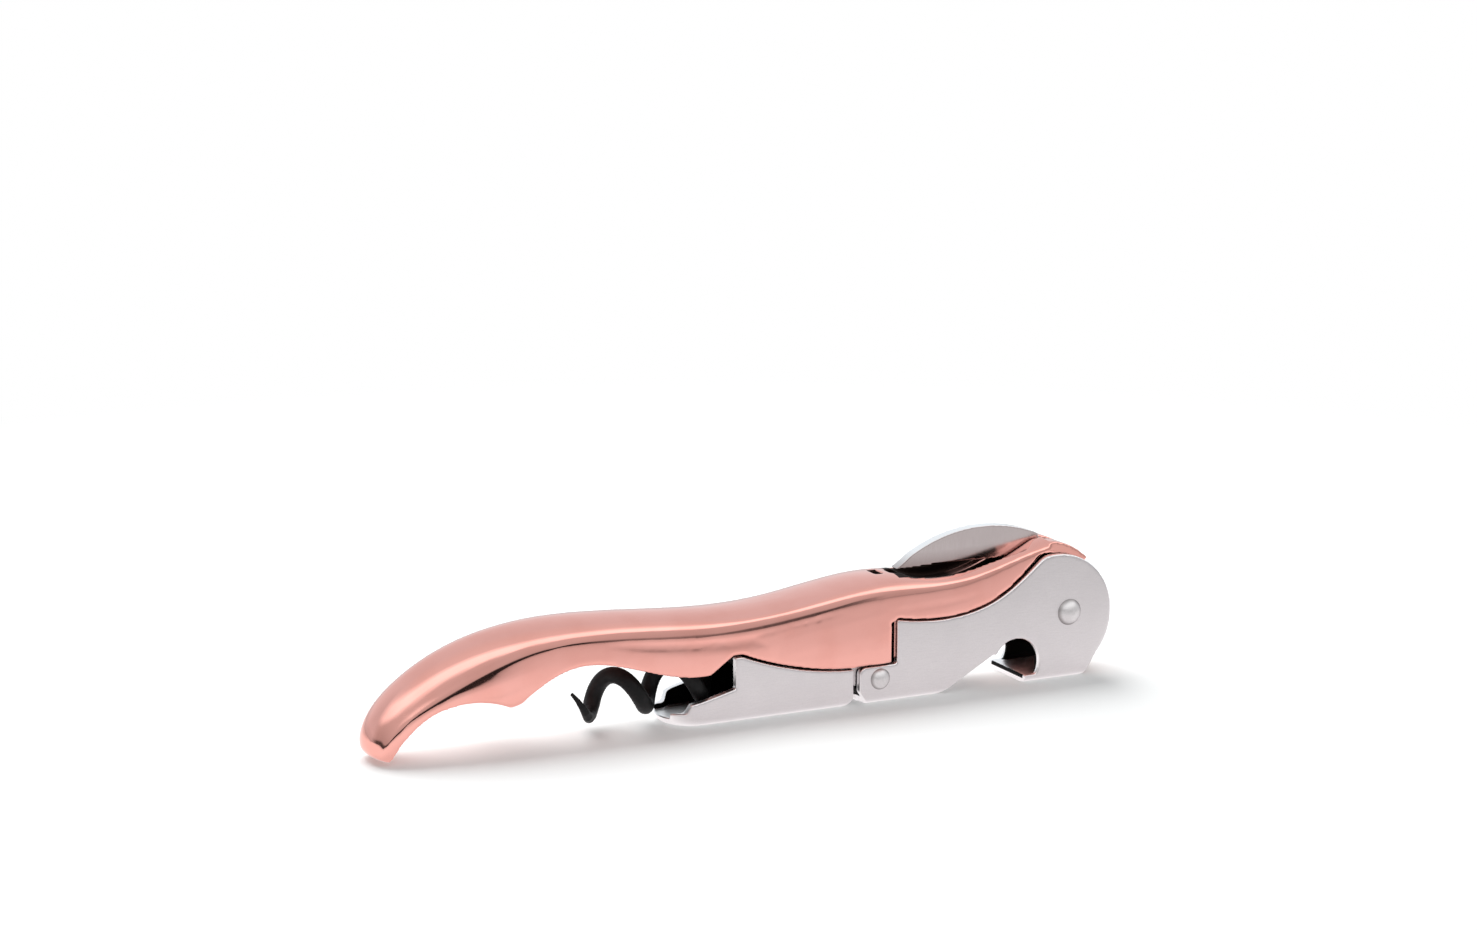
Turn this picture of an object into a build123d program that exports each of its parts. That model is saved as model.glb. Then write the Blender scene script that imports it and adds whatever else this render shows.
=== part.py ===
from build123d import *
from math import asin, cos, radians, sin, sqrt
import os

# Two-step lever corkscrew, closed and lying on its lever, as it rests on a table.
# X runs along the tool with the head at +X, Y is its width and Z is up.
# The origin is on the table, under the middle of the tool. All sizes are in millimetres.
# A "reach" is measured back from the main rivet towards the tail, a "height" up from the table.

# Fits
overrun = 40.0  # how far a cut runs past the metal
running_clearance = 0.05  # radial, of a pin in a hole that turns on it
seat_clearance = 0.02  # radial, of a pin in a hole that holds it
side_clearance = 0.2  # between flat faces that slide past each other
swing_gap = 0.4  # between curved edges that swing past each other

# Handle
tail_reach = 118.5
back_height = 20.4
grip_width = 13.4
trough_width = 7.6
trough_depth = 1.5
groove_width = 9.0
lug_radius = 7.6
lug_stop = 28.0  # degrees below the level of the main rivet, on the tail side
lip_rise = 1.9  # above the frame's head, at its crown
lip_edge = 0.7  # above the frame's head, at the lip's end
lip_end = 54.0  # degrees above the level of the head's centre

# Lever frame
sheet = 1.3
frame_width = 11.4
bend_radius = 1.5
pivot_height = 11.0
head_radius = 10.2
head_back = 2.3
head_drop = 0.5
frame_end = 3.6  # of the frame, behind the foot rivet
frame_end_rise = 2.2
frame_end_cut = 1.4
frame_end_round = 1.2
ledge_height = 6.1
step_reach = 31.6
step_height = 13.2
waist_reach = 22.0
waist_height = 12.4
rise_reach = 11.8
rise_height = 15.2
crest_reach = 5.8
crest_height = 19.6
bend_reach = 23.8
notch_radius = 4.2
notch_reach = 9.7
notch_height = 3.4
hood_back = 8.1
hood_front = 3.1  # ahead of the main rivet
hood_corner_height = 3.7
tongue_reach = 15.0
tongue_root_width = 8.0
tongue_tip_width = 3.0
tab_width = 5.4
tab_length = 1.0
tab_chamfer = 0.7

# Lever foot, the second step
foot_gap = 1.1
toe_length = 10.9  # of the foot, behind its hook
toe_height = 2.1
toe_flat = 3.6  # along the toe, before its rim rises
toe_rise_height = 3.6
step_floor_height = 5.4
foot_length = 20.4  # of the foot, from its hinge end to its hook
hook_height = 10.3
hook_flat = 1.2
foot_waist = 8.1  # ahead of the hook, where the slope flattens
foot_waist_height = 7.9
foot_end_height = 6.0
foot_end_cut = 1.2
foot_pivot_back = 3.0  # of the foot rivet, behind the first step
foot_pivot_height = 4.0
ear_radius = 2.3
ear_arm_low = 3.1
ear_jog = 1.6

# Rivets and pins
lever_shaft = 2.6
lever_head = 4.3
lever_dome = 1.2
foot_shaft = 1.8
foot_head = 3.4
foot_dome = 0.9
worm_pin_diameter = 2.2
blade_pin_diameter = 1.6
pin_recess = 0.3

# Worm
worm_pin_reach = 19.4
worm_pin_height = 9.4
worm_droop = 3.8  # degrees
worm_diameter = 8.2
wire = 2.6
pitch = 9.45
turns = 4.35
tip_turns = 0.52
tip_wire = 0.5
shank_length = 20.2
shank_waist = 8.5
eye_radius = 2.7

# Foil blade
blade_pin_reach = 2.5
blade_pin_height = 18.8
blade_thickness = 1.8
blade_reach = 29.5
blade_tip_height = 20.1
blade_crown_reach = 15.8
blade_depth = 4.6  # of the blade, from its edge to its crown
blade_root_reach = 3.4
blade_root_height = 23.5
blade_root_radius = 2.6
blade_edge_height = 20.9
blade_heel_reach = 9.0
blade_heel_height = 20.2
slot_reach = 34.6
slot_depth = 15.3  # height of the slot's floor under the blade's root

# Sizes that follow from the driving ones
head_front = head_radius - head_back
pivot_x = (tail_reach - head_front) / 2
frame_inner = frame_width - 2 * sheet
lug_width = frame_inner - 2 * side_clearance
ear_outer = frame_inner / 2 - side_clearance / 2
ear_inner = ear_outer - sheet
foot_pivot_reach = step_reach + foot_pivot_back
frame_reach = foot_pivot_reach + frame_end
foot_end = frame_reach + foot_gap
hook_reach = foot_end + foot_length
foot_waist_reach = hook_reach - foot_waist
foot_reach = hook_reach + toe_length
toe_rise_reach = foot_reach - toe_flat
blade_crown_height = blade_edge_height + blade_depth
coil_radius = (worm_diameter - wire) / 2
shank_slot = wire + 4 * side_clearance
blade_slot = blade_thickness + 4 * side_clearance
worm_length = shank_length + pitch * (turns + tip_turns)
droop = radians(worm_droop)
head_height = pivot_height - head_drop
head_top = head_height + head_radius

# Sketch plane on the tool's mid plane: its x is ahead of the main rivet and its y is height
side = Plane(origin=(pivot_x, 0, 0), x_dir=(1, 0, 0), z_dir=(0, -1, 0))
rivet_axis = Axis((pivot_x, 0, pivot_height), (0, 1, 0))
foot_axis = Axis((pivot_x - foot_pivot_reach, 0, foot_pivot_height), (0, 1, 0))
blade_axis = Axis((pivot_x - blade_pin_reach, 0, blade_pin_height), (0, 1, 0))

# The worm has its own planes, turned down a little from its pin towards the tail
worm_seat = (pivot_x - worm_pin_reach, 0, worm_pin_height)
worm_axis = Axis(worm_seat, (0, 1, 0))
worm_side = Plane(origin=worm_seat, x_dir=(cos(droop), 0, sin(droop)), z_dir=(0, -1, 0))

# Handle stations from head to tail, as shares: the top's reach and height, then the bottom's reach and height
# (of tail_reach and back_height), the width at the ridge (of grip_width), the ridge's drop below the top
# (of the depth there) and the width of the cove under the ridge (of the width at the ridge)
grip_station_shares = [
    (0.025, 1.140, 0.025, 0.86, 0.66, 0.18, 1.00),
    (0.071, 1.090, 0.071, 0.70, 0.76, 0.12, 1.00),
    (0.114, 1.020, 0.114, 0.52, 0.83, 0.08, 1.00),
    (0.160, 0.963, 0.160, 0.42, 0.88, 0.08, 0.99),
    (0.215, 0.952, 0.215, 0.36, 0.93, 0.08, 0.97),
    (0.290, 1.004, 0.290, 0.24, 0.98, 0.10, 0.94),
    (0.365, 0.936, 0.365, 0.22, 0.98, 0.11, 0.91),
    (0.440, 0.868, 0.440, 0.20, 0.97, 0.12, 0.90),
    (0.510, 0.853, 0.510, 0.22, 0.95, 0.155, 0.90),
    (0.580, 0.876, 0.580, 0.27, 0.93, 0.185, 0.90),
    (0.655, 0.914, 0.655, 0.36, 0.92, 0.21, 0.90),
    (0.720, 0.933, 0.720, 0.44, 0.91, 0.245, 0.91),
    (0.770, 0.929, 0.765, 0.41, 0.90, 0.26, 0.91),
    (0.810, 0.904, 0.800, 0.34, 0.89, 0.29, 0.91),
    (0.848, 0.863, 0.832, 0.30, 0.87, 0.34, 0.91),
    (0.884, 0.797, 0.862, 0.315, 0.85, 0.38, 0.92),
    (0.920, 0.701, 0.890, 0.335, 0.83, 0.48, 0.93),
    (0.955, 0.565, 0.922, 0.28, 0.81, 0.50, 0.94),
    (0.981, 0.420, 0.948, 0.19, 0.78, 0.50, 0.95),
    (0.995, 0.275, 0.962, 0.095, 0.75, 0.48, 0.96),
    (1.000, 0.150, 0.970, 0.040, 0.69, 0.46, 0.96),
    (0.996, 0.050, 0.974, 0.010, 0.56, 0.46, 0.96),
]
# Points down one side of a station, from the top over the ridge and the cove to the bottom, as shares:
# the place along the outline, the width there (of the ridge's or the cove's) and the depth
# (of the ridge's drop, or of what lies below the ridge)
crown_shares = [(0.0, 0.0, 0.0), (0.24, 0.55, 0.28), (0.42, 0.955, 0.87)]
ridge_share = 0.46
flank_shares = [(0.50, 1.03, 0.10), (0.59, 1.0, 0.30), (0.68, 1.05, 0.54), (0.80, 1.02, 0.96), (1.0, 0.0, 1.0)]
# Flat facet that flares out from the cove to the step, as shares: its reach, the height of its crease,
# and its width at the crease and at the bottom
flare_shares = [
    (0.520, 0.600, 0.80, 0.80),
    (0.440, 0.677, 0.90, 0.92),
    (0.365, 0.735, 0.935, 0.965),
    (0.270, 0.830, 0.97, 1.0),
]
flare_inner_share = 0.70
# Underside of the grip from the tail to the first finger spur, then to the second, in the grip's shares
tail_underside_shares = [(0.974, 0.0), (0.958, 0.16), (0.916, 0.35), (0.854, 0.40), (0.812, 0.325)]
finger_underside_shares = [(0.804, 0.325), (0.777, 0.455), (0.730, 0.572), (0.616, 0.456), (0.540, 0.39)]


def ahead(reach, height):
    """A point of the side sketch, from a reach behind the main rivet and a height."""
    return (-reach, height)


def grip_point(shares):
    """A point of the side sketch, from shares of the grip's reach and height."""
    return (-shares[0] * tail_reach, shares[1] * back_height)


def about_head(radius, angle):
    """A point of the side sketch, from a radius and an angle about the centre of the frame's round head."""
    return (radius * cos(radians(angle)) - head_back, head_height + radius * sin(radians(angle)))


def drill(axis, diameter):
    """Cut a round hole across the whole width, about a hinge axis."""
    with Locations(Plane(origin=axis.position, z_dir=(0, 1, 0))):
        Hole(diameter / 2)


def rivet(axis, shaft, head, dome, grip):
    """A round shaft with a ball-topped head at each end, about a hinge axis."""
    half_grip = grip / 2
    ball = ((head / 2) ** 2 + dome**2) / (2 * dome)
    half_turn = asin(head / 2 / ball) / 2
    dome_side = ball * sin(half_turn)
    dome_rise = half_grip + dome - ball + ball * cos(half_turn)
    with BuildPart() as piece:
        with BuildSketch(Plane(origin=axis.position, z_dir=(0, 0, 1))):
            with BuildLine():
                Line((0, -half_grip - dome), (0, half_grip + dome))
                ThreePointArc((0, half_grip + dome), (dome_side, dome_rise), (head / 2, half_grip))
                Line((head / 2, half_grip), (shaft / 2, half_grip))
                Line((shaft / 2, half_grip), (shaft / 2, -half_grip))
                Line((shaft / 2, -half_grip), (head / 2, -half_grip))
                ThreePointArc((head / 2, -half_grip), (dome_side, -dome_rise), (0, -half_grip - dome))
            make_face()
        revolve(axis=axis)
    return piece


def straight_pin(axis, diameter, length):
    """A plain pin across the tool, about a hinge axis."""
    with BuildPart() as piece:
        with BuildSketch(Plane(origin=axis.position, z_dir=(0, 1, 0))):
            Circle(diameter / 2)
        extrude(amount=length / 2, both=True)
    return piece


# Top edge of the frame's cheek, from the first step over the waist to the head's crown
cheek_top = [
    ahead(step_reach, step_height),
    ahead(waist_reach, waist_height),
    ahead(rise_reach, rise_height),
    ahead(crest_reach, crest_height),
    ahead(head_back, head_top),
]

cheek_tangents = [(1, -0.2), (1, 0)]

# Top edge of the foot's cheek, from the second step's hook to the hinge
foot_top = [
    ahead(hook_reach - hook_flat, hook_height),
    ahead(foot_waist_reach, foot_waist_height),
    ahead(foot_end, foot_end_height),
]

# Lever frame: a folded channel with the first step, the cap-lifter's notch and its hood
tongue_rise = notch_height + notch_radius / 2
hood_corner_x = sqrt(head_radius**2 - (head_height - hood_corner_height) ** 2) - head_back
with BuildPart() as lever_frame:
    with BuildSketch(side):
        with BuildLine():
            Spline(cheek_top, tangents=cheek_tangents)
            ThreePointArc(
                ahead(head_back, head_top),
                (head_front, head_height),
                (hood_corner_x, hood_corner_height),
            )
            Polyline(
                (hood_corner_x, hood_corner_height),
                (hood_front, 0),
                ahead(hood_back, 0),
                ahead(bend_reach, 0),
                ahead(frame_reach - frame_end_cut, 0),
                ahead(frame_reach, frame_end_rise),
                ahead(frame_reach, ledge_height),
                ahead(step_reach, ledge_height),
                ahead(step_reach, step_height),
            )
        make_face()
    extrude(amount=frame_width / 2, both=True)
    bottom_edges = lever_frame.edges().filter_by(Axis.X).group_by(Axis.Z)[0]
    fillet(bottom_edges, bend_radius)
    # Space between the cheeks, which leaves a floor under the step and under the hood
    with BuildSketch(side):
        with BuildLine():
            Polyline(
                ahead(frame_reach + overrun, sheet),
                ahead(bend_reach, sheet),
                ahead(bend_reach, -overrun),
                ahead(hood_back, -overrun),
                ahead(hood_back, sheet),
                (hood_front, sheet),
                (hood_front, -overrun),
                (overrun, -overrun),
                (overrun, overrun),
                ahead(frame_reach + overrun, overrun),
                close=True,
            )
        make_face()
    extrude(amount=frame_inner / 2, both=True, mode=Mode.SUBTRACT)
    # Cheeks cut back between the step and the hood, up to the round notch of the cap lifter
    with BuildSketch(side):
        with BuildLine():
            Polyline(
                ahead(bend_reach, 0),
                ahead(bend_reach, -overrun),
                ahead(hood_back, -overrun),
                ahead(hood_back, sheet),
                ahead(notch_reach, notch_height),
                ahead(notch_reach + notch_radius, notch_height + notch_radius / 2),
                close=True,
            )
        make_face()
        with Locations(ahead(notch_reach, notch_height)):
            Circle(notch_radius)
        with Locations(ahead(hood_back, sheet)):
            Rectangle(overrun, overrun, align=(Align.MIN, Align.MAX), mode=Mode.SUBTRACT)
    extrude(amount=overrun, both=True, mode=Mode.SUBTRACT)
    # Tongue of the floor, bent up along the cut and tapering towards the notch
    with BuildSketch(side):
        with BuildLine():
            Polyline(
                ahead(bend_reach + sheet, 0),
                ahead(bend_reach, 0),
                ahead(tongue_reach, tongue_rise),
                ahead(tongue_reach, tongue_rise + sheet),
                ahead(bend_reach, sheet),
                ahead(bend_reach + sheet, sheet),
                close=True,
            )
        make_face()
    extrude(amount=tongue_root_width / 2, both=True)
    for flank in (1, -1):
        with BuildSketch(Plane.XY):
            with BuildLine():
                Polyline(
                    (pivot_x - bend_reach, flank * tongue_root_width / 2),
                    (pivot_x - tongue_reach, flank * tongue_tip_width / 2),
                    (pivot_x - tongue_reach + sheet, flank * tongue_tip_width / 2),
                    (pivot_x - tongue_reach + sheet, flank * frame_inner / 2),
                    (pivot_x - bend_reach, flank * frame_inner / 2),
                    close=True,
                )
            make_face()
        extrude(amount=notch_height + notch_radius, mode=Mode.SUBTRACT)
    # Tab of the floor towards the hinged foot
    with BuildSketch(side):
        with BuildLine():
            Polyline(
                ahead(frame_reach - frame_end_cut - sheet, 0),
                ahead(frame_reach - frame_end_cut - sheet, sheet),
                ahead(frame_reach - frame_end_cut + tab_length, sheet),
                ahead(frame_reach - frame_end_cut + tab_length, tab_chamfer),
                ahead(frame_reach - frame_end_cut + tab_length - tab_chamfer, 0),
                close=True,
            )
        make_face()
    extrude(amount=tab_width / 2, both=True)
    end_corners = lever_frame.edges().filter_by(Axis.Y).filter_by_position(
        Axis.X, pivot_x - frame_reach - sheet, pivot_x - frame_reach + sheet / 2
    ).filter_by_position(Axis.Z, ledge_height - sheet, ledge_height + sheet)
    fillet(end_corners, frame_end_round)
    drill(rivet_axis, lever_shaft + 2 * seat_clearance)
    drill(foot_axis, foot_shaft + 2 * seat_clearance)

# Lever foot: a folded channel with a closed round toe, the second step's hook, and two ears at its hinge
with BuildPart() as lever_foot:
    with BuildSketch(Plane.XY):
        with BuildLine():
            Polyline(
                (pivot_x - foot_reach + frame_width / 2, frame_width / 2),
                (pivot_x - foot_end, frame_width / 2),
                (pivot_x - foot_end, -frame_width / 2),
                (pivot_x - foot_reach + frame_width / 2, -frame_width / 2),
            )
            ThreePointArc(
                (pivot_x - foot_reach + frame_width / 2, -frame_width / 2),
                (pivot_x - foot_reach, 0),
                (pivot_x - foot_reach + frame_width / 2, frame_width / 2),
            )
        make_face()
    extrude(amount=hook_height)
    fillet(lever_foot.faces().sort_by(Axis.Z)[0].edges(), bend_radius)
    with BuildSketch(Plane.XY.offset(sheet)):
        with BuildLine():
            Polyline(
                (pivot_x - foot_reach + frame_width / 2, frame_inner / 2),
                (pivot_x, frame_inner / 2),
                (pivot_x, -frame_inner / 2),
                (pivot_x - foot_reach + frame_width / 2, -frame_inner / 2),
            )
            ThreePointArc(
                (pivot_x - foot_reach + frame_width / 2, -frame_inner / 2),
                (pivot_x - foot_reach + sheet, 0),
                (pivot_x - foot_reach + frame_width / 2, frame_inner / 2),
            )
        make_face()
    extrude(amount=overrun, mode=Mode.SUBTRACT)
    # Side outline: low round toe, the step, the hook and the long slope to the hinge
    with BuildSketch(side):
        with BuildLine():
            Polyline(
                ahead(foot_end - foot_end_cut, 0),
                ahead(foot_reach + overrun, 0),
                ahead(foot_reach + overrun, toe_height),
                ahead(foot_reach - frame_width / 4, toe_height),
                ahead(toe_rise_reach, toe_rise_height),
                ahead(hook_reach, step_floor_height),
                ahead(hook_reach, hook_height),
                foot_top[0],
            )
            Spline(foot_top)
            Line(foot_top[-1], ahead(foot_end, foot_end_cut))
            Line(ahead(foot_end, foot_end_cut), ahead(foot_end + foot_end_cut, 0))
            Line(ahead(foot_end + foot_end_cut, 0), ahead(foot_end - foot_end_cut, 0))
        make_face()
    extrude(amount=overrun, both=True, mode=Mode.INTERSECT)
    # Ears at the hinge, stepped in to pass between the frame's cheeks
    with BuildSketch(side):
        with BuildLine():
            Polyline(
                ahead(foot_end + ear_jog, ear_arm_low),
                ahead(foot_pivot_reach, foot_pivot_height - ear_radius / 2),
                ahead(foot_pivot_reach, foot_pivot_height + ear_radius),
                ahead(foot_end + ear_jog, foot_end_height),
                close=True,
            )
        make_face()
        with Locations(ahead(foot_pivot_reach, foot_pivot_height)):
            Circle(ear_radius)
    extrude(amount=ear_outer, both=True)
    with BuildSketch(side):
        with BuildLine():
            Polyline(
                ahead(foot_end + ear_jog, ear_arm_low),
                ahead(foot_end, ear_arm_low),
                ahead(foot_end, foot_end_height),
                ahead(foot_end + ear_jog, foot_end_height),
                close=True,
            )
        make_face()
    extrude(amount=frame_inner / 2 + sheet / 2, both=True)
    with BuildSketch(side):
        with Locations(ahead(foot_pivot_reach, sheet)):
            Rectangle(2 * overrun, overrun, align=(Align.CENTER, Align.MIN))
    extrude(amount=ear_inner, both=True, mode=Mode.SUBTRACT)
    drill(foot_axis, foot_shaft + 2 * running_clearance)

# Rivets and pins
lever_rivet = rivet(rivet_axis, lever_shaft, lever_head, lever_dome, frame_width)
foot_rivet = rivet(foot_axis, foot_shaft, foot_head, foot_dome, frame_width)
worm_pin = straight_pin(worm_axis, worm_pin_diameter, lug_width - 2 * pin_recess)
blade_pin = straight_pin(blade_axis, blade_pin_diameter, lug_width - 2 * pin_recess)

# Worm: a flat shank with an eye, which runs into a right-hand coil drawn out to a point
coil_base = Plane(
    origin=worm_side.from_local_coords((-shank_length, 0, 0)),
    x_dir=worm_side.y_dir,
    z_dir=-worm_side.x_dir,
)
turned = radians(360 * turns)
tip_base = Plane(
    origin=coil_base.from_local_coords((0, 0, pitch * turns)),
    x_dir=coil_base.x_dir * cos(turned) + coil_base.y_dir * sin(turned),
    z_dir=coil_base.z_dir,
)
coil = coil_base * Helix(pitch=pitch, height=pitch * turns, radius=coil_radius)
tip = tip_base * Helix(pitch=pitch, height=pitch * tip_turns, radius=coil_radius)
tip_steps = 8
with BuildPart() as worm:
    with BuildSketch(worm_side):
        Circle(eye_radius)
        with BuildLine():
            Polyline(
                (0, eye_radius),
                (-shank_length, coil_radius + wire / 2),
                (-shank_length, coil_radius - wire / 2),
                (-shank_waist, -eye_radius),
                (0, -eye_radius),
                close=True,
            )
        make_face()
    extrude(amount=wire / 2, both=True)
    with Locations(coil @ 0):
        Sphere(wire / 2)
    with BuildSketch(Plane(origin=coil @ 0, z_dir=coil % 0)):
        Circle(wire / 2)
    sweep(path=coil, is_frenet=True)
    for step in range(tip_steps):
        for share in (step / tip_steps, (step + 1) / tip_steps):
            outward = tip @ share - tip_base.from_local_coords((0, 0, share * pitch * tip_turns))
            with BuildSketch(Plane(origin=tip @ share, x_dir=outward, z_dir=tip % share)):
                Circle((wire + share * (tip_wire - wire)) / 2)
        loft()
    drill(worm_axis, worm_pin_diameter + 2 * running_clearance)

# Foil blade: a plate with a domed back, folded edge down into the slot of the handle's back
with BuildPart() as foil_blade:
    with BuildSketch(side):
        with BuildLine():
            ThreePointArc(
                ahead(blade_reach, blade_tip_height),
                ahead(blade_crown_reach, blade_crown_height),
                ahead(blade_root_reach, blade_root_height),
            )
            Polyline(
                ahead(blade_root_reach, blade_root_height),
                ahead(blade_pin_reach, blade_pin_height + blade_root_radius),
                ahead(blade_pin_reach, blade_pin_height - blade_root_radius),
                ahead(blade_heel_reach, blade_heel_height),
            )
            Spline(
                ahead(blade_heel_reach, blade_heel_height),
                ahead(blade_crown_reach, blade_edge_height),
                ahead(blade_reach, blade_tip_height),
            )
        make_face()
        with Locations(ahead(blade_pin_reach, blade_pin_height)):
            Circle(blade_root_radius)
    extrude(amount=blade_thickness / 2, both=True)
    drill(blade_axis, blade_pin_diameter + 2 * running_clearance)

# The lug's round end stops where the notch begins
lug_side = -cos(radians(lug_stop))
lug_drop = -sin(radians(lug_stop))
tongue_slope = tongue_rise / (bend_reach - tongue_reach)

# Handle: a cast grip with a thin lug at its head, which carries the lever, the worm and the blade
with BuildPart() as handle:
    for top_reach, top_height, low_reach, low_height, width, ridge_drop, cove in grip_station_shares:
        top = Vector(pivot_x - top_reach * tail_reach, 0, top_height * back_height)
        low = Vector(pivot_x - low_reach * tail_reach, 0, low_height * back_height)
        up = (top - low).normalized()
        depth = (top - low).length
        ridge = width * grip_width / 2
        drop = ridge_drop * depth
        outline = [(ridge * across, -drop * down) for place, across, down in crown_shares]
        outline += [(ridge, -drop)]
        outline += [(ridge * cove * across, -drop - (depth - drop) * down) for place, across, down in flank_shares]
        places = [place for place, across, down in crown_shares + [(ridge_share, 1, 1)] + flank_shares]
        with BuildSketch(Plane(origin=top, x_dir=(0, 1, 0), z_dir=Vector(0, 1, 0).cross(up))):
            with BuildLine():
                for hand in (1, -1):
                    points = [Vector(hand * x, y) for x, y in outline]
                    add(Edge.make_spline(points, [Vector(hand, 0), Vector(-hand, 0)], parameters=places))
            make_face()
    loft()
    # Flat facets that flare out to the step on both sides
    for flank in (1, -1):
        for reach, crease_height, crease_width, low_width in flare_shares:
            half = flank * grip_width / 2
            with BuildSketch(Plane(origin=(pivot_x - reach * tail_reach, 0, 0), x_dir=(0, 1, 0), z_dir=(1, 0, 0))):
                with BuildLine():
                    Polyline(
                        (half * flare_inner_share, crease_height * back_height),
                        (half * crease_width, crease_height * back_height),
                        (half * low_width, ledge_height),
                        (half * flare_inner_share, ledge_height),
                        close=True,
                    )
                make_face()
        loft(ruled=True)
    # Underside of the grip: two finger spurs, and the slope that lies along the foot and the frame's ledge
    with BuildSketch(side):
        with BuildLine():
            Spline([grip_point(shares) for shares in tail_underside_shares])
            Line(grip_point(tail_underside_shares[-1]), grip_point(finger_underside_shares[0]))
            Spline([grip_point(shares) for shares in finger_underside_shares])
            Line(grip_point(finger_underside_shares[-1]), ahead(hook_reach + swing_gap, hook_height + swing_gap))
            Line(
                ahead(hook_reach + swing_gap, hook_height + swing_gap),
                ahead(hook_reach - hook_flat, hook_height + swing_gap),
            )
            Spline([(x, height + swing_gap) for x, height in foot_top])
            Polyline(
                ahead(foot_end, foot_end_height + swing_gap),
                ahead(foot_end, ledge_height + swing_gap),
                ahead(step_reach, ledge_height + swing_gap),
                ahead(step_reach, -overrun),
                (tail_underside_shares[0][0] * -tail_reach, -overrun),
                grip_point(tail_underside_shares[0]),
            )
        make_face()
    extrude(amount=overrun, both=True, mode=Mode.SUBTRACT)
    # Everything of the grip that the frame's cheeks cover is cut away, up to their top edge
    with BuildSketch(side):
        with BuildLine():
            Spline(
                [(x, height + swing_gap) for x, height in cheek_top],
                tangents=cheek_tangents,
            )
            Polyline(
                ahead(head_back, head_top + swing_gap),
                (overrun, head_top + swing_gap),
                (overrun, -overrun),
                ahead(step_reach + swing_gap, -overrun),
                ahead(step_reach + swing_gap, step_height + swing_gap),
                ahead(step_reach, step_height + swing_gap),
            )
        make_face()
    extrude(amount=overrun, both=True, mode=Mode.SUBTRACT)
    # Lug between the cheeks, with the lip that closes over the head
    with BuildSketch(side):
        with BuildLine():
            Polyline(
                (lug_side * lug_radius, pivot_height + lug_drop * lug_radius),
                ahead(notch_reach - notch_radius / 2, notch_height + notch_radius + swing_gap),
                ahead(tongue_reach, tongue_rise + sheet + 2 * swing_gap),
                ahead(bend_reach - sheet, sheet + tongue_slope * sheet + 2 * swing_gap),
                ahead(bend_reach, sheet + 2 * swing_gap),
                ahead(step_reach - sheet, ledge_height),
                ahead(step_reach + sheet, ledge_height + sheet),
                ahead(step_reach + sheet, waist_height + sheet),
                ahead(waist_reach, waist_height + 2 * sheet),
                ahead(crest_reach, crest_height + sheet),
                ahead(head_back, head_top + lip_rise),
            )
            ThreePointArc(
                ahead(head_back, head_top + lip_rise),
                about_head(head_radius + (lip_rise + lip_edge) / 2, (90 + lip_end) / 2),
                about_head(head_radius + lip_edge, lip_end),
            )
            Polyline(
                about_head(head_radius + lip_edge, lip_end),
                about_head(head_radius - sheet, lip_end),
                (lug_radius, pivot_height),
            )
            ThreePointArc(
                (lug_radius, pivot_height),
                (0, pivot_height - lug_radius),
                (lug_side * lug_radius, pivot_height + lug_drop * lug_radius),
            )
        make_face()
    extrude(amount=lug_width / 2, both=True)
    # Shallow trough in the back, on both sides of the blade
    with BuildSketch(side):
        with BuildLine():
            Spline(
                ahead(blade_reach, blade_tip_height),
                ahead(waist_reach, blade_tip_height - trough_depth - sheet),
                ahead(rise_reach, blade_tip_height - trough_depth / 2),
                ahead(blade_root_reach, blade_root_height),
            )
            Polyline(
                ahead(blade_root_reach, blade_root_height),
                ahead(blade_root_reach, overrun),
                ahead(blade_reach, overrun),
                ahead(blade_reach, blade_tip_height),
            )
        make_face()
    extrude(amount=trough_width / 2, both=True, mode=Mode.SUBTRACT)
    # Slot for the blade, open through the lip so that the blade can swing forward
    with BuildSketch(side):
        with BuildLine():
            Polyline(
                ahead(slot_reach, overrun),
                ahead(slot_reach, blade_tip_height - sheet),
                ahead(blade_heel_reach, slot_depth),
                (overrun, slot_depth),
                (overrun, overrun),
                close=True,
            )
        make_face()
    extrude(amount=blade_slot / 2, both=True, mode=Mode.SUBTRACT)
    # Slot for the worm's shank and, behind it, the wide groove for the coil
    with BuildSketch(worm_side):
        with BuildLine():
            Polyline(
                (eye_radius + swing_gap, -overrun),
                (eye_radius + swing_gap, eye_radius + swing_gap),
                (-shank_length, coil_radius + wire / 2 + swing_gap),
                (-shank_length, -overrun),
                close=True,
            )
        make_face()
    extrude(amount=shank_slot / 2, both=True, mode=Mode.SUBTRACT)
    with BuildSketch(worm_side):
        with BuildLine():
            Polyline(
                (-shank_length + wire + pitch / 2, -overrun),
                (-shank_length + wire, worm_diameter / 2 + swing_gap),
                (-worm_length - wire, worm_diameter / 2 + swing_gap),
                (-worm_length - wire, -overrun),
                close=True,
            )
        make_face()
    extrude(amount=groove_width / 2, both=True, mode=Mode.SUBTRACT)
    drill(rivet_axis, lever_shaft + 2 * running_clearance)
    drill(worm_axis, worm_pin_diameter + 2 * seat_clearance)
    drill(blade_axis, blade_pin_diameter + 2 * seat_clearance)

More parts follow.
